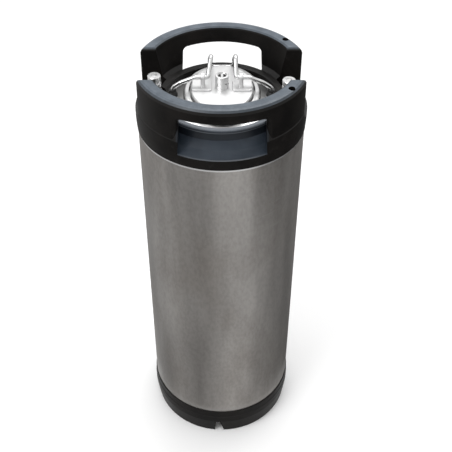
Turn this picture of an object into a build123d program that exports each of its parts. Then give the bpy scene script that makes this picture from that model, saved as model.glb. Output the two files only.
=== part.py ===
from build123d import *
import math
import os

os.makedirs("parts", exist_ok=True)

# Nineteen litre beer keg with ball-lock posts. Millimetres, +Z up.
# The origin is on the floor under the keg's axis; -Y is the front and +X is the right.

# Heights below are measured from the boot's notch line; the boot reaches this far below it
BOOT_DROP = 4.0

# Steel shell
STEEL_R = 108.0
SHELL_T = 1.2
HEAD_TOP_Z = 530.0
HEAD_LOW_Z = 52.0
KNUCKLE_R = 26.0
KNUCKLE_CENTRE_R = STEEL_R - KNUCKLE_R
CROWN_R = 260.0
CROWN_DROP = math.sqrt((CROWN_R - KNUCKLE_R) ** 2 - KNUCKLE_CENTRE_R ** 2)

# Top chime
TOTAL_H = 617.0
CHIME_R = 109.8
CHIME_LOW_Z = 532.6
CHIME_TOP_R = 109.0
CHIME_INNER_R = 91.0
LIP_R = 72.0
LIP_Z = 571.0
VALLEY_HALF = 36.0
VALLEY_Z = 558.0
HOLD_X = 1.2
HOLD_TOP_Z = 597.0
HOLD_TOP_HALF = 51.5
HOLD_LOW_HALF = 54.5

# Base boot
BOOT_H = 48.0
BOOT_R = 109.8
BOOT_FOOT_R = 106.5
BOOT_INNER_R = 94.0

# Oval neck and lid, given as half width (X) and half length (Y); they sit a little right of centre
LID_X = 0.9
NECK_OUTER = (49.0, 61.0)
NECK_WALL = (47.4, 59.4)
NECK_OPENING = (42.2, 54.2)
NECK_TOP_Z = 578.4
NECK_LIP_Z = 574.6
LID_FLANGE = (46.4, 58.4)
LID_FLANGE_LOW_Z = 567.0
LID_FLANGE_Z = 570.6
LID_PLATE = (40.0, 52.0)
LID_PLATE_Z = 583.0
LID_RING_AT = (44.2, 56.2)

# Bail
WIRE_R = 2.9
PIVOT_Z = 596.0
PIVOT_BORE_R = WIRE_R + 0.06
LEG_X = 17.7
APEX = 5
APEX_LEAN = 1.6
FOOT_X = 62.6
FOOT_Z = 570.7
FOOT_R = 6.6
BRACKET_X = 24.0
BRACKET_HALF_T = 2.6
BRACKET_ROUND_R = 6.2

# Relief valve
RELIEF_R = 8.7
RELIEF_TOP_Z = 600.0

# Posts
POST_CIRCLE_R = 84.6
POST_TURN = 3.4
POST_R = 8.3
POST_HEX_R = 12.6
POST_HEX_LOW_Z = 561.0
POST_HEX_TOP_Z = 571.0
POST_TOP_Z = 596.0
POST_BORE_R = 6.2
POST_HOLE_R = 3.62
GAS_ANGLE = 180.0 - POST_TURN
LIQUID_ANGLE = -POST_TURN


def revolved(points):
    """Turn a closed profile of (radius, height) points round the keg's axis."""
    return revolve(Plane.XZ * make_face(Polyline(*points, close=True)), Axis.Z)


def oval(half, low, high):
    """Upright oval block between two heights."""
    return extrude(Plane.XY.offset(low) * Ellipse(*half), high - low)


def ring(outer_r, inner_r, low, high):
    """Upright round ring between two heights."""
    face = Plane.XY.offset(low) * (Circle(outer_r) - Circle(inner_r))
    return extrude(face, high - low)


def rod(radius, low, high):
    """Upright round rod between two heights."""
    return extrude(Plane.XY.offset(low) * Circle(radius), high - low)


def o_ring(radius, thickness_r, height):
    """Ring of round section about the Z axis."""
    return Pos(0, 0, height) * Torus(radius, thickness_r)


def coil(radius, wire_r, low, high, turns):
    """Compression spring about the Z axis, its wire inside the two heights."""
    travel = high - low - 2 * wire_r
    path = Pos(0, 0, low + wire_r) * Helix(travel / turns, travel, radius)
    section = Plane(path @ 0, z_dir=path % 0) * Circle(wire_r)
    return sweep(section, path=path, is_frenet=True)


def head_face(inset, upward, centre_z):
    """Half outline of a domed head, moved inwards by the inset and filled to the axis."""
    sign = 1 if upward else -1
    knuckle = KNUCKLE_R - inset
    crown = CROWN_R - inset
    lean = math.asin(KNUCKLE_CENTRE_R / (CROWN_R - KNUCKLE_R))
    apex_z = centre_z + sign * (crown - CROWN_DROP)
    join_r = KNUCKLE_CENTRE_R + knuckle * math.sin(lean)
    join_z = centre_z + sign * knuckle * math.cos(lean)
    mid = (lean + math.pi / 2) / 2
    knuckle_mid = (
        KNUCKLE_CENTRE_R + knuckle * math.sin(mid),
        centre_z + sign * knuckle * math.cos(mid),
    )
    crown_mid = (
        crown * math.sin(lean / 2),
        centre_z + sign * (crown * math.cos(lean / 2) - CROWN_DROP),
    )
    rim = (KNUCKLE_CENTRE_R + knuckle, centre_z)
    outline = [
        Line((0, centre_z), rim),
        ThreePointArc(rim, knuckle_mid, (join_r, join_z)),
        ThreePointArc((join_r, join_z), crown_mid, (0, apex_z)),
        Line((0, apex_z), (0, centre_z)),
    ]
    return make_face(outline)


def head_solid(inset, upward, centre_z):
    """Solid of revolution of a domed head's outline."""
    return revolve(Plane.XZ * head_face(inset, upward, centre_z), Axis.Z)


def under_top_head():
    """Everything a rubber part must leave free: the top head and the shell below it."""
    return head_solid(0, True, HEAD_TOP_Z) + rod(STEEL_R, 0, HEAD_TOP_Z)


def tank_body():
    """Drawn cylindrical wall of the keg."""
    return ring(STEEL_R, STEEL_R - SHELL_T, HEAD_LOW_Z, HEAD_TOP_Z)


def fitting_hole(angle):
    """Cutter for the dip tube's passage through the top head."""
    return Rot(0, 0, angle) * Pos(POST_CIRCLE_R, 0, 0) * rod(7.2, 530, 580)


def top_head():
    """Domed top with the raised oval neck that the lid closes from inside."""
    dome = head_solid(0, True, HEAD_TOP_Z)
    hollow = head_solid(SHELL_T, True, HEAD_TOP_Z)
    neck = oval(NECK_OUTER, 548, NECK_TOP_Z)
    rim = neck.edges().group_by(Axis.Z)[-1]
    neck = Pos(LID_X, 0, 0) * fillet(rim, 3.0) - hollow
    shell = dome - hollow + neck
    shell -= Pos(LID_X, 0, 0) * oval(NECK_WALL, 545, NECK_LIP_Z)
    shell -= Pos(LID_X, 0, 0) * oval(NECK_OPENING, 545, NECK_TOP_Z + 1)
    shell -= fitting_hole(GAS_ANGLE)
    shell -= fitting_hole(LIQUID_ANGLE)
    return shell


def bottom_head():
    """Domed bottom with a shallow sump under the long dip tube."""
    return head_solid(0, False, HEAD_LOW_Z) - head_solid(SHELL_T, False, HEAD_LOW_Z)


def fitting(angle):
    """Welded threaded stub that carries a post, on a small collar."""
    axis = Rot(0, 0, angle) * Pos(POST_CIRCLE_R, 0, 0)
    collar = axis * rod(10.0, 550, 560.6) - head_solid(0, True, HEAD_TOP_Z)
    stub = axis * rod(7.19, 552, 572.4)
    return collar + stub - axis * rod(5.0, 540, 575)


def chime_ring():
    """Full ring of the top chime before its valleys and handholds are cut."""
    profile = [
        (LIP_R, 552),
        (LIP_R, LIP_Z - 2),
        (LIP_R + 1.5, LIP_Z - 0.5),
        (80, LIP_Z),
        (84.5, 576),
        (CHIME_INNER_R - 0.3, TOTAL_H - 3.5),
        (CHIME_INNER_R + 0.4, TOTAL_H - 1.4),
        (CHIME_INNER_R + 2.6, TOTAL_H),
        (102.5, TOTAL_H),
        (105.6, TOTAL_H - 0.8),
        (107.8, TOTAL_H - 2.9),
        (CHIME_TOP_R, TOTAL_H - 6.4),
        (CHIME_TOP_R + 0.1, 567),
        (CHIME_R - 0.2, 565.6),
        (CHIME_R, 564),
        (CHIME_R, 549),
        (CHIME_R - 0.2, 543),
        (109.0, CHIME_LOW_Z + 0.8),
        (108.5, CHIME_LOW_Z),
        (100, CHIME_LOW_Z),
    ]
    return revolved(profile)


def valley_cutter(side):
    """Block that leaves the low valley beside a post, its rims flared to round them."""
    flare = 5.5
    edge_z = TOTAL_H - flare
    outline = [
        Line((-VALLEY_HALF - flare, TOTAL_H + 5), (-VALLEY_HALF - flare, TOTAL_H)),
        RadiusArc((-VALLEY_HALF - flare, TOTAL_H), (-VALLEY_HALF, edge_z), flare),
        Line((-VALLEY_HALF, edge_z), (-VALLEY_HALF, VALLEY_Z + 6)),
        RadiusArc((-VALLEY_HALF, VALLEY_Z + 6), (-VALLEY_HALF + 6, VALLEY_Z), -6),
        Line((-VALLEY_HALF + 6, VALLEY_Z), (VALLEY_HALF - 6, VALLEY_Z)),
        RadiusArc((VALLEY_HALF - 6, VALLEY_Z), (VALLEY_HALF, VALLEY_Z + 6), -6),
        Line((VALLEY_HALF, VALLEY_Z + 6), (VALLEY_HALF, edge_z)),
        RadiusArc((VALLEY_HALF, edge_z), (VALLEY_HALF + flare, TOTAL_H), flare),
        Line((VALLEY_HALF + flare, TOTAL_H), (VALLEY_HALF + flare, TOTAL_H + 5)),
        Line((VALLEY_HALF + flare, TOTAL_H + 5), (-VALLEY_HALF - flare, TOTAL_H + 5)),
    ]
    block = extrude(Plane.YZ.offset(50) * make_face(outline), 70)
    block -= rod(80, 540, LIP_Z + 0.5)
    return block if side > 0 else mirror(block, Plane.YZ)


def handhold_cutter(side):
    """Window of a handhold: straight sides, rounded upper corners and a sloping sill."""
    outline = Polyline(
        (HOLD_X - HOLD_LOW_HALF - 0.5, 535),
        (HOLD_X + HOLD_LOW_HALF + 0.5, 535),
        (HOLD_X + HOLD_TOP_HALF, HOLD_TOP_Z),
        (HOLD_X - HOLD_TOP_HALF, HOLD_TOP_Z),
        close=True,
    )
    window = extrude(Plane.XZ.offset(60) * make_face(outline), 60)
    window = fillet(window.edges().filter_by(Axis.Y).group_by(Axis.Z)[-1], 6.0)
    space = revolved(
        [
            (78.5, LIP_Z + 2.0),
            (79.4, LIP_Z - 0.3),
            (81.6, 569.4),
            (82.4, 567.2),
            (85.2, 560.2),
            (96.0, 553.4),
            (107.6, 547.6),
            (115, 546.6),
            (115, 620),
            (78.5, 620),
        ]
    )
    cutter = window & space
    return cutter if side < 0 else mirror(cutter, Plane.XZ)


def grip_edges(chime):
    """Lower outer edges of the two grip bars, with their corners."""

    def on_grip(edge):
        radii = [math.hypot((edge @ t).X, (edge @ t).Y) for t in (0, 1)]
        middle = edge.center()
        return min(radii) > CHIME_TOP_R - 1 and abs(middle.Y) > 60 and 590 < middle.Z < 600

    return chime.edges().filter_by(on_grip)


def top_chime():
    """One-piece moulded rubber top with two arched handles."""
    chime = chime_ring() - under_top_head()
    for side in (-1, 1):
        chime -= valley_cutter(side)
        chime -= handhold_cutter(side)
    for angle in (GAS_ANGLE, LIQUID_ANGLE):
        chime -= Rot(0, 0, angle) * Pos(POST_CIRCLE_R, 0, 0) * rod(15.5, 545, 600)
    for x, y in ((82.6, 58.4), (83.4, -58.6)):
        chime -= Pos(x, y, 0) * rod(4.2, TOTAL_H - 22, TOTAL_H + 1)
    return fillet(grip_edges(chime), 5.0)


def base_boot():
    """Rubber boot that the keg stands on, open below, with a drain notch at the front."""
    profile = [
        (BOOT_INNER_R, -BOOT_DROP),
        (BOOT_FOOT_R - 2.0, -BOOT_DROP),
        (BOOT_FOOT_R - 0.6, -BOOT_DROP + 0.6),
        (BOOT_FOOT_R, -BOOT_DROP + 2.0),
        (BOOT_R - 0.6, 19),
        (BOOT_R, 24),
        (BOOT_R, 35),
        (BOOT_R - 0.5, 36),
        (BOOT_R - 0.6, 46),
        (BOOT_R - 1.1, BOOT_H),
        (90, BOOT_H),
        (90, 30),
        (BOOT_INNER_R, 26),
    ]
    boot = revolved(profile) - head_solid(0, False, HEAD_LOW_Z)
    notch = Polyline((-10.9, -6), (4.2, -6), (3.6, 0), (-2.4, 23), (-8.1, 23), (-10.4, 0), close=True)
    cutter = extrude(Plane.XZ.offset(80) * make_face(notch), 40)
    cutter = fillet(cutter.edges().filter_by(Axis.Y).group_by(Axis.Z)[-1], 2.0)
    return boot - cutter


def lid_plate():
    """Pressed oval lid, its flange wider than the opening it seals from below."""
    flange = oval(LID_FLANGE, LID_FLANGE_LOW_Z, LID_FLANGE_Z)
    plate = oval(LID_PLATE, LID_FLANGE_Z, LID_PLATE_Z)
    plate = fillet(plate.edges().group_by(Axis.Z)[-1], 2.0)
    plate = plate + flange - oval((37.4, 49.4), 566, LID_PLATE_Z - 2.4)
    plate += rod(13.0, 576, LID_PLATE_Z)
    return plate - rod(6.2, 560, 590)


def lid_oring():
    """Large oval seal between the lid's flange and the neck."""
    path = Plane.XY.offset(LID_FLANGE_Z + 2) * Ellipse(*LID_RING_AT).edge()
    section = Plane(path @ 0, z_dir=path % 0) * Circle(2.0)
    return sweep(section, path=path)


def lid_bracket(side):
    """Welded bracket: a flat foot and an upright ear with the wire's pivot bore."""
    foot = Pos(25.5, 0, LID_PLATE_Z + 1) * Box(25, 24, 2)
    foot = fillet(foot.edges().filter_by(Axis.Z), 3.0)
    foot = fillet(foot.edges().group_by(Axis.Z)[-1], 0.8)
    ear_low = Pos(BRACKET_X, 0, (LID_PLATE_Z + 1 + PIVOT_Z) / 2)
    ear = ear_low * Box(2 * BRACKET_HALF_T, 2 * BRACKET_ROUND_R, PIVOT_Z - LID_PLATE_Z - 1)
    across = Plane.YZ.offset(BRACKET_X - BRACKET_HALF_T)
    ear += extrude(across * Pos(0, PIVOT_Z) * Circle(BRACKET_ROUND_R), 2 * BRACKET_HALF_T)
    ear = fillet(ear.edges().filter_by(Axis.Z), 1.2)
    bore = extrude(Plane.YZ * Pos(0, PIVOT_Z) * Circle(PIVOT_BORE_R), 60)
    bracket = foot + ear - bore
    return bracket if side > 0 else mirror(bracket, Plane.YZ)


def bail_half_points():
    """Corner points of the wire's right half, each with its bend radius."""
    return [
        ((FOOT_X, 0, FOOT_Z - 2), 0),
        ((FOOT_X, 0, 581.5), 7),
        ((52.5, 0, 588.4), 14),
        ((34.5, 0, PIVOT_Z), 14),
        ((LEG_X, 0, PIVOT_Z), 3.2),
        ((LEG_X - 2.4, 19.0, 615.0), 6),
        ((LEG_X - 1.7, 61.5, 586.0), 10),
        ((LEG_X - 1.7, 66.4, 571.6), 6),
    ]


def bail():
    """Sprung wire handle that pulls the lid up against the neck."""
    right = [Vector(*p) for p, _ in bail_half_points()]
    left = [Vector(-p.X, p.Y, p.Z) for p in reversed(right)]
    right[APEX] += Vector(APEX_LEAN, 0, 0)
    left[-1 - APEX] += Vector(APEX_LEAN, 0, 0)
    radii = [r for _, r in bail_half_points()][1:]
    path = FilletPolyline(*right, *left, radius=radii + radii[::-1])
    section = Plane(path @ 0, z_dir=path % 0) * Circle(WIRE_R)
    return sweep(section, path=path, transition=Transition.ROUND)


def bail_foot(side):
    """Rubber foot pushed on the end of the wire."""
    foot = Pos(FOOT_X, 0, FOOT_Z) * (Sphere(FOOT_R) + rod(4.6, 0, 8.0))
    foot -= Pos(FOOT_X, 0, 0) * rod(WIRE_R, FOOT_Z - 2, 590)
    return foot if side > 0 else mirror(foot, Plane.YZ)


def relief_boss():
    """Round valve housing screwed into the lid, with a small vent in its side."""
    tube = rod(RELIEF_R, LID_PLATE_Z, RELIEF_TOP_Z)
    tube = fillet(tube.edges().group_by(Axis.Z)[-1], 0.8)
    stem = rod(6.2, 566, LID_PLATE_Z)
    bore = rod(6.4, 586, 601) + rod(3.0, 560, 590)
    vent = Pos(0, 0, 590.5) * Rot(0, 0, -55) * (Plane.YZ * Circle(1.1))
    return tube + stem - bore - extrude(vent, 12)


def relief_retainer():
    """Ring with the cross bar that holds the relief spring down."""
    band = ring(6.38, 5.2, 595.6, 598.2)
    bar = Pos(0, 0, 597.2) * Box(3.0, 11.6, 2.0)
    return band + bar


def relief_spring():
    """Spring of the relief valve."""
    return coil(4.0, 0.5, 589.9, 596.2, 4)


def relief_poppet():
    """Sliding stem and disc of the relief valve."""
    return rod(5.6, 587.6, 589.8) + rod(2.6, 574.0, 587.6)


def relief_seal():
    """Flat seal under the relief poppet."""
    return ring(5.4, 2.6, 586.0, 587.6)


def placed(angle, shape):
    """Set a part that is built about the Z axis on its post's axis."""
    return Rot(0, 0, angle) * Pos(POST_CIRCLE_R, 0, 0) * shape


def post(notched):
    """Ball-lock post: hexagon, barrel, locking groove and bore."""
    hexagon = extrude(Plane.XY.offset(POST_HEX_LOW_Z) * RegularPolygon(POST_HEX_R, 6), 10)
    hexagon &= fillet(rod(POST_HEX_R - 0.2, POST_HEX_LOW_Z, POST_HEX_TOP_Z).edges(), 1.0)
    body = hexagon + rod(POST_R, POST_HEX_TOP_Z, POST_TOP_Z)
    body = body - ring(12, 7.0, 586.0, 590.4)
    body -= ring(12, 6.9, 578.9, 581.1)
    top_edge = body.edges().group_by(Axis.Z)[-1]
    body = chamfer(top_edge, 0.7)
    if notched:
        for k in range(6):
            nick = Pos(POST_HEX_R, 0, 0) * rod(1.0, POST_HEX_LOW_Z + 4, POST_HEX_TOP_Z + 1)
            body -= Rot(0, 0, 60 * k) * nick
    body -= rod(7.26, 560, 572.6) + rod(POST_BORE_R, 572, 592.4)
    return body - rod(POST_HOLE_R, 590, 600)


def post_oring():
    """Seal in the post's lower groove."""
    return o_ring(7.95, 1.04, 580.0)


def post_poppet():
    """Valve plug of a post, pushed down by the coupling."""
    cap = fillet(rod(3.3, 589.0, 595.7).edges().group_by(Axis.Z)[-1], 0.4)
    return cap + rod(5.5, 587.4, 589.0) + rod(2.4, 582.0, 587.4)


def post_poppet_seal():
    """Soft ring that closes the post under its top wall."""
    return ring(5.5, 3.3, 589.0, 592.3)


def post_spring():
    """Spring under a post's poppet."""
    return coil(4.6, 0.45, 575.1, 587.3, 5)


def dip_tube(low_z):
    """Tube that hangs in the fitting by its flared flange."""
    tube = ring(4.0, 3.2, low_z, 574.0)
    return tube + ring(6.1, 3.2, 573.6, 575.0)


def dip_oring():
    """Small seal under a dip tube's flange."""
    return ring(5.9, 4.0, 572.5, 573.5)


def on_lid(shape):
    """Set a part that is built about the Z axis over the lid's centre."""
    return Pos(LID_X, 0, 0) * shape


def save(shape, node):
    """Stand one sub-part on the floor, write it and report its size."""
    shape = Pos(0, 0, BOOT_DROP) * shape
    export_step(shape, f"parts/{node}.step")
    box = shape.bounding_box()
    print(f"{node:20s} solids={len(shape.solids())} vol={shape.volume:.0f} z={box.min.Z:.1f}..{box.max.Z:.1f}")


save(tank_body(), "tank_body")
save(top_head(), "top_head")
save(bottom_head(), "bottom_head")
save(top_chime(), "top_chime")
save(base_boot(), "base_boot")
save(on_lid(lid_plate()), "lid_plate")
save(on_lid(lid_oring()), "lid_oring")
save(on_lid(lid_bracket(-1)), "lid_bracket_left")
save(on_lid(lid_bracket(1)), "lid_bracket_right")
save(on_lid(bail()), "bail")
save(on_lid(bail_foot(-1)), "bail_foot_left")
save(on_lid(bail_foot(1)), "bail_foot_right")
save(on_lid(relief_boss()), "relief_boss")
save(on_lid(relief_retainer()), "relief_retainer")
save(on_lid(relief_spring()), "relief_spring")
save(on_lid(relief_poppet()), "relief_poppet")
save(on_lid(relief_seal()), "relief_seal")

for name, at, tube_low in (("gas", GAS_ANGLE, 530.0), ("liquid", LIQUID_ANGLE, 32.0)):
    save(fitting(at), f"{name}_fitting")
    save(placed(at, post(name == "gas")), f"{name}_post")
    save(placed(at, post_oring()), f"{name}_post_oring")
    save(placed(at, post_poppet()), f"{name}_poppet")
    save(placed(at, post_poppet_seal()), f"{name}_poppet_seal")
    save(placed(at, post_spring()), f"{name}_spring")
    save(placed(at, dip_tube(tube_low)), f"{name}_dip_tube")
    save(placed(at, dip_oring()), f"{name}_dip_oring")
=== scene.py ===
import math
import bpy
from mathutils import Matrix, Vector

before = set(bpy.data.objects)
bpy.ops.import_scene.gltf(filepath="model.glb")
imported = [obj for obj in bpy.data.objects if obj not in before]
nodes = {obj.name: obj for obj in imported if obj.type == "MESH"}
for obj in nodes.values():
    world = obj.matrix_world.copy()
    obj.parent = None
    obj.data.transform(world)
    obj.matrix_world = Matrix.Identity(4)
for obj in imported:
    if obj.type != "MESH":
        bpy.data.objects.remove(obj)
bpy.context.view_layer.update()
scene = bpy.context.scene

# Places on the object where the looks change, in metres. A pair runs from the first value to the second.
LOW_DARKER_Z = (0.05, 0.30)
SPIN_LINES_Z = (0.500, 0.530)
BOTTOM_WELD_Z = (0.066, 0.054)
SCRATCHED = (((0.072, -0.08, 0.44), 0.05), ((0.092, -0.055, 0.50), 0.035))  # centre and reach
# Heights where the painted sky reflection on the handles' upward faces fades in.
HANDLE_TOP_Z = (0.585, 0.612)
# The handhold sills, which carry a painted navy sky reflection.
SILL_HIGH_Z = (0.590, 0.580)
SILL_LOW_Z = (0.530, 0.540)
SILL_MIDDLE_X = 0.0012
SILL_HALF_WIDTH = (0.056, 0.0545)
SILL_FRONT_Y = (-0.05, -0.06)
# The lip of the handhold sills, which carries two painted highlight lines.
LIP_RADIUS = (0.0835, 0.0845)
LIP_HIGHLIGHT_Z = (0.5748, 0.5722)

FLOOR_HALF = 6.0
WORLD_STRENGTH = 0.9
CARD_Z = 0.002
CARD_INNER, CARD_OUTER, CARD_PARTS = 0.14, 2.4, 96
CAMERA_PLACE = (0.0, -0.8974, 1.1495)
CAMERA_TILT = 48.36
CAMERA_LENS = 66.03
CAMERA_SHIFT_X = 0.0104


class Shader:
    """Short way to build a node material."""

    def __init__(self, name):
        self.mat = bpy.data.materials.new(name)
        self.mat.use_nodes = True
        self.tree = self.mat.node_tree
        self.bsdf = self.tree.nodes["Principled BSDF"]

    def add(self, kind, inputs=None, **props):
        node = self.tree.nodes.new("ShaderNode" + kind)
        for key, value in props.items():
            setattr(node, key, value)
        for key, value in (inputs or {}).items():
            if isinstance(value, bpy.types.NodeSocket):
                self.tree.links.new(value, node.inputs[key])
            else:
                node.inputs[key].default_value = value
        return node

    def set(self, **values):
        for key, value in values.items():
            socket = self.bsdf.inputs[key.replace("_", " ")]
            if isinstance(value, bpy.types.NodeSocket):
                self.tree.links.new(value, socket)
            else:
                socket.default_value = value

    def place(self, scale=(1, 1, 1)):
        coords = self.add("TexCoord").outputs["Object"]
        return self.add("Mapping", {"Vector": coords, "Scale": scale}).outputs["Vector"]

    def noise(self, scale, size, detail=4.0, rough=0.55):
        inputs = {"Vector": self.place(size), "Scale": scale, "Detail": detail, "Roughness": rough}
        return self.add("TexNoise", inputs).outputs["Fac"]

    def ramp(self, fac, stops):
        node = self.add("ValToRGB", {"Fac": fac})
        ramp = node.color_ramp
        while len(ramp.elements) < len(stops):
            ramp.elements.new(0.5)
        for element, (at, colour) in zip(ramp.elements, stops):
            element.position = at
            element.color = (*colour, 1.0)
        return node.outputs["Color"]

    def mix(self, a, b, fac, blend="MIX"):
        node = self.add("Mix", data_type="RGBA", blend_type=blend)
        for index, value in ((0, fac), (6, a), (7, b)):
            if isinstance(value, bpy.types.NodeSocket):
                self.tree.links.new(value, node.inputs[index])
            elif index:
                node.inputs[index].default_value = (*value, 1.0)
            else:
                node.inputs[index].default_value = value
        return node.outputs[2]

    def bump(self, height, strength, distance):
        inputs = {"Height": height, "Strength": strength, "Distance": distance}
        return self.add("Bump", inputs).outputs["Normal"]


def grey(value, warm=0.0):
    """A grey, turned towards yellow by warm."""
    return (value * (1 + warm), value, value * (1 - warm))


def range_of(shader, value, low, high, to_low=0.0, to_high=1.0):
    """Map value from low..high to to_low..to_high, held at both ends."""
    inputs = {
        "Value": value,
        "From Min": low,
        "From Max": high,
        "To Min": to_low,
        "To Max": to_high,
    }
    return shader.add("MapRange", inputs).outputs["Result"]


def shell_steel():
    """Brushed keg wall: clouded upright bands, soiled streaks, scratches and spin lines."""
    s = Shader("shell_steel")
    coords = s.add("TexCoord").outputs["Object"]
    split = s.add("SeparateXYZ", {"Vector": coords})
    height = split.outputs["Z"]
    bands = s.noise(9.0, (1.0, 1.0, 0.16), 3.0)
    streaks = s.noise(46.0, (1.0, 1.0, 0.09), 5.0)
    cloud = s.noise(11.0, (1.0, 1.0, 0.5), 5.0)
    speckle = s.noise(260.0, (1.0, 1.0, 0.5), 3.0)
    base = s.ramp(bands, [(0.34, grey(0.23, 0.05)), (0.5, grey(0.35, 0.045)), (0.66, grey(0.52, 0.04))])
    base = s.mix(base, s.ramp(streaks, [(0.3, grey(0.72, 0.01)), (0.7, grey(1.0))]), 0.55, "MULTIPLY")
    stain = s.ramp(cloud, [(0.48, (0, 0, 0)), (0.72, (0.55, 0.55, 0.55))])
    base = s.mix(base, grey(0.22, 0.10), stain)
    base = s.mix(base, s.ramp(speckle, [(0.35, grey(0.8)), (0.6, grey(1.0))]), 0.6, "MULTIPLY")
    # Darker towards the bottom of the wall.
    low = range_of(s, height, *LOW_DARKER_Z, 0.5, 0.0)
    base = s.mix(base, grey(0.72, 0.02), low, "MULTIPLY")
    spin = s.add("TexWave", {"Vector": s.place((0.02, 0.02, 1.0)), "Scale": 55.0}, bands_direction="Z")
    near_top = range_of(s, height, *SPIN_LINES_Z, 0.0, 0.16)
    base = s.mix(base, grey(0.34, 0.03), s.mix((0, 0, 0), spin.outputs["Color"], near_top))
    weld = range_of(s, height, *BOTTOM_WELD_Z, 0.0, 0.5)
    base = s.mix(base, grey(0.36, 0.04), weld)
    scratch_map = s.add(
        "Mapping",
        {"Vector": coords, "Rotation": (0.0, math.radians(-24), 0.0), "Scale": (18.0, 18.0, 300.0)},
    )
    scratch = s.add("TexNoise", {"Vector": scratch_map.outputs["Vector"], "Scale": 1.0, "Detail": 3.0})
    lines = s.ramp(scratch.outputs["Fac"], [(0.58, (0, 0, 0)), (0.66, (0.55, 0.55, 0.55))])
    for spot, reach in SCRATCHED:
        far = s.add("VectorMath", {0: coords, 1: spot}, operation="DISTANCE").outputs["Value"]
        near = range_of(s, far, reach * 0.5, reach, 1.0, 0.0)
        base = s.mix(base, grey(0.42, 0.03), s.mix((0, 0, 0), lines, near))
    s.set(
        Base_Color=base,
        Metallic=0.9,
        Roughness=range_of(s, cloud, 0.3, 0.7, 0.36, 0.5),
        Anisotropic=0.35,
        Normal=s.bump(s.noise(420.0, (1.0, 1.0, 0.02), 2.0), 0.06, 0.001),
    )
    return s.mat


def polished_steel(name, value, rough, cloud_scale=30.0):
    """Bright steel with faint wipe marks."""
    s = Shader(name)
    cloud = s.noise(cloud_scale, (1.0, 1.0, 1.0), 5.0)
    scratch = s.noise(300.0, (1.0, 0.08, 1.0), 3.0)
    colour = s.ramp(cloud, [(0.3, grey(value * 0.9)), (0.7, grey(value))])
    s.set(
        Base_Color=colour,
        Metallic=1.0,
        Roughness=range_of(s, cloud, 0.3, 0.7, rough, rough + 0.1),
        Normal=s.bump(scratch, 0.04, 0.0005),
    )
    return s.mat


def black_rubber():
    """Satin moulded rubber: near black walls, a painted bluish-grey sky reflection on the upward faces at
    the top of the handles, a painted navy sky reflection on the handhold sills and painted highlight lines
    on their lip edges.
    """
    s = Shader("black_rubber")
    cloud = s.noise(22.0, (1.0, 1.0, 1.0), 5.0)
    grain = s.noise(700.0, (1.0, 1.0, 1.0), 2.0)
    rub = s.noise(60.0, (1.0, 1.0, 1.0), 6.0, 0.7)
    facing = s.add("SeparateXYZ", {"Vector": s.add("NewGeometry").outputs["Normal"]}).outputs["Z"]
    base = s.ramp(cloud, [(0.35, (0.0040, 0.0036, 0.0034)), (0.7, (0.0095, 0.0082, 0.0074))])
    base = s.mix(base, (0.022, 0.02, 0.019), s.ramp(rub, [(0.58, (0, 0, 0)), (0.82, (0.7, 0.7, 0.7))]))
    # Painted sky reflection: bluish-grey laid on the upward faces at the top of the handles.
    sky_reflection_tint = s.ramp(rub, [(0.3, (0.045, 0.060, 0.078)), (0.72, (0.115, 0.140, 0.170))])
    height = s.add("SeparateXYZ", {"Vector": s.add("TexCoord").outputs["Object"]}).outputs["Z"]
    upward = range_of(s, facing, 0.45, 1.0, 0.0, 0.9)
    handle = range_of(s, height, *HANDLE_TOP_Z, 0.0, 1.0)
    painted_up_reflection = s.add("Math", {0: upward, 1: handle}, operation="MULTIPLY").outputs[0]
    base = s.mix(base, sky_reflection_tint, painted_up_reflection)
    # Painted sky reflection on the handhold sills: a navy tone on the sloping faces inside the handholds.
    sill = range_of(s, facing, 0.15, 0.6, 0.0, 0.9)
    object_point = s.add("SeparateXYZ", {"Vector": s.place()})
    across = s.add("Math", {0: object_point.outputs["X"], 1: SILL_MIDDLE_X}, operation="SUBTRACT")
    across = across.outputs[0]
    across = s.add("Math", {0: across}, operation="ABSOLUTE").outputs[0]
    sill_reflection_mask = sill
    for fade in (
        range_of(s, height, *SILL_HIGH_Z, 0.0, 1.0),
        range_of(s, height, *SILL_LOW_Z, 0.0, 1.0),
        range_of(s, across, *SILL_HALF_WIDTH, 0.0, 1.0),
        range_of(s, object_point.outputs["Y"], *SILL_FRONT_Y, 0.0, 1.0),
    ):
        sill_reflection_mask = s.add("Math", {0: sill_reflection_mask, 1: fade}, operation="MULTIPLY").outputs[0]
    sill_reflection_tint = s.ramp(cloud, [(0.3, (0.011, 0.017, 0.026)), (0.7, (0.026, 0.037, 0.052))])
    base = s.mix(base, sill_reflection_tint, sill_reflection_mask)
    # Painted highlights: two thin light lines along the lip edges inside the handholds.
    flat = s.place((1.0, 1.0, 0.0))
    reach = s.add("VectorMath", {0: flat}, operation="LENGTH").outputs["Value"]
    lip = range_of(s, reach, *LIP_RADIUS, 1.0, 0.0)
    for rim in LIP_HIGHLIGHT_Z:
        gap = s.add("Math", {0: height, 1: rim}, operation="SUBTRACT").outputs[0]
        gap = s.add("Math", {0: gap}, operation="ABSOLUTE").outputs[0]
        lip_highlight = range_of(s, gap, 0.0003, 0.0007, 0.55, 0.0)
        lip_highlight = s.add("Math", {0: lip_highlight, 1: lip}, operation="MULTIPLY").outputs[0]
        lip_highlight = s.add("Math", {0: lip_highlight, 1: sill_reflection_mask}, operation="MULTIPLY").outputs[0]
        base = s.mix(base, (0.30, 0.33, 0.37), lip_highlight)
    s.set(
        Base_Color=base,
        Metallic=0.0,
        Roughness=range_of(s, cloud, 0.3, 0.7, 0.34, 0.46),
        Specular_IOR_Level=range_of(s, facing, 0.1, 0.8, 0.06, 0.42),
        Normal=s.bump(grain, 0.08, 0.0004),
    )
    return s.mat


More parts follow.
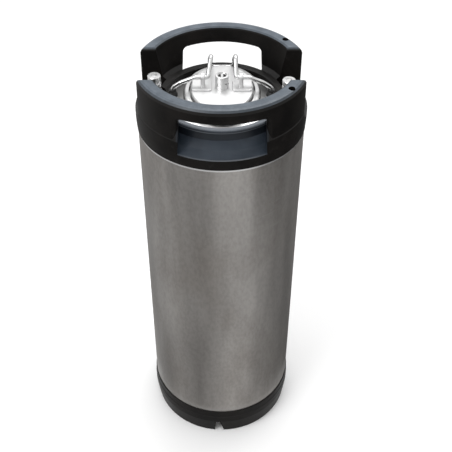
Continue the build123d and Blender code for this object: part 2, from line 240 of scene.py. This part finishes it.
def seal_rubber():
    """Matt dark rubber of the seals and the bail's feet."""
    s = Shader("seal_rubber")
    cloud = s.noise(180.0, (1.0, 1.0, 1.0), 4.0)
    s.set(
        Base_Color=s.ramp(cloud, [(0.3, (0.008, 0.008, 0.008)), (0.7, (0.02, 0.02, 0.021))]),
        Roughness=range_of(s, cloud, 0.3, 0.7, 0.5, 0.7),
        Normal=s.bump(cloud, 0.1, 0.0003),
    )
    return s.mat


SHELL = shell_steel()
LID = polished_steel("lid_steel", 0.74, 0.42)
HEAD = polished_steel("head_steel", 0.74, 0.30)
WIRE = polished_steel("wire_steel", 0.72, 0.16, 90.0)
TURNED = polished_steel("turned_steel", 0.80, 0.24, 120.0)
RUBBER = black_rubber()
SEAL = seal_rubber()


def material_for(name):
    """The material of a CAD node, by the node's name."""
    if name in ("tank_body", "bottom_head"):
        return SHELL
    if name in ("top_chime", "base_boot"):
        return RUBBER
    if "foot" in name or "oring" in name or "seal" in name:
        return SEAL
    if name == "bail" or "spring" in name:
        return WIRE
    if name in ("top_head", "gas_fitting", "liquid_fitting"):
        return HEAD
    if name in ("lid_plate", "lid_bracket_left", "lid_bracket_right"):
        return LID
    return TURNED


for name, obj in nodes.items():
    obj.data.materials.clear()
    obj.data.materials.append(material_for(name))

# Floor and light
floor_mesh = bpy.data.meshes.new("floor")
corners = [(x * FLOOR_HALF, y * FLOOR_HALF, 0) for x, y in ((-1, -1), (1, -1), (1, 1), (-1, 1))]
floor_mesh.from_pydata(corners, [], [(0, 1, 2, 3)])
floor = bpy.data.objects.new("floor", floor_mesh)
scene.collection.objects.link(floor)
paper = Shader("floor_paper")
paper_noise = paper.noise(3.0, (1.0, 1.0, 1.0), 2.0)
paper.set(
    Base_Color=paper.ramp(paper_noise, [(0.3, (0.93, 0.93, 0.93)), (0.7, (0.96, 0.96, 0.96))]),
    Roughness=0.9,
)
floor_mesh.materials.append(paper.mat)

world = bpy.data.worlds.new("studio")
scene.world = world
world.use_nodes = True
world.node_tree.nodes["Background"].inputs["Color"].default_value = (1.0, 1.0, 1.0, 1.0)
world.node_tree.nodes["Background"].inputs["Strength"].default_value = WORLD_STRENGTH


def area_light(name, place, target, size, power):
    """White rectangular light at place, aimed at target."""
    data = bpy.data.lights.new(name, "AREA")
    data.shape = "RECTANGLE"
    data.size, data.size_y = size
    data.energy = power
    lamp = bpy.data.objects.new(name, data)
    scene.collection.objects.link(lamp)
    lamp.location = place
    lamp.rotation_euler = (Vector(target) - Vector(place)).to_track_quat("-Z", "Y").to_euler()


area_light("key", (-1.1, -1.0, 2.0), (0, 0, 0.4), (1.0, 1.0), 18.0)
area_light("top", (0.2, 0.8, 2.2), (0, 0, 0.6), (1.4, 1.0), 16.0)


def floor_card():
    """Ring on the floor that only reflections see: it gives the steel its dark and bright bands."""
    parts = CARD_PARTS
    points = []
    for k in range(parts):
        a = 2 * math.pi * k / parts
        points += [(r * math.cos(a), r * math.sin(a), CARD_Z) for r in (CARD_INNER, CARD_OUTER)]
    faces = [(2 * k, 2 * k + 1, (2 * k + 3) % (2 * parts), (2 * k + 2) % (2 * parts)) for k in range(parts)]
    mesh = bpy.data.meshes.new("floor_card")
    mesh.from_pydata(points, [], faces)
    card = bpy.data.objects.new("floor_card", mesh)
    scene.collection.objects.link(card)
    s = Shader("floor_card")
    split = s.add("SeparateXYZ", {"Vector": s.place()})
    back = s.add("Math", {0: split.outputs["Y"], 1: -1.0}, operation="MULTIPLY").outputs[0]
    turn = s.add("Math", {0: split.outputs["X"], 1: back}, operation="ARCTAN2").outputs[0]
    side = range_of(s, turn, -math.pi, math.pi)
    tone = s.ramp(
        side,
        [
            (0.02, grey(0.30)),
            (0.22, grey(0.62)),
            (0.32, grey(0.42)),
            (0.42, grey(0.56)),
            (0.49, grey(0.62)),
            (0.56, grey(0.78)),
            (0.60, grey(0.62)),
            (0.655, grey(0.24)),
            (0.80, grey(0.06)),
            (0.98, grey(0.30)),
        ],
    )
    s.tree.nodes.remove(s.bsdf)
    glow = s.add("Emission", {"Color": tone, "Strength": 1.0})
    s.tree.links.new(glow.outputs[0], s.tree.nodes["Material Output"].inputs["Surface"])
    mesh.materials.append(s.mat)
    card.visible_camera = False
    card.visible_diffuse = False
    card.visible_shadow = False
    card.visible_transmission = False


floor_card()

# Camera
camera_data = bpy.data.cameras.new("camera")
camera = bpy.data.objects.new("camera", camera_data)
scene.collection.objects.link(camera)
camera.location = CAMERA_PLACE
camera.rotation_euler = (math.radians(CAMERA_TILT), 0.0, 0.0)
camera_data.sensor_width = 36.0
camera_data.lens = CAMERA_LENS
camera_data.shift_x = CAMERA_SHIFT_X
camera_data.clip_start = 0.01
scene.camera = camera

scene.view_settings.view_transform = "Standard"
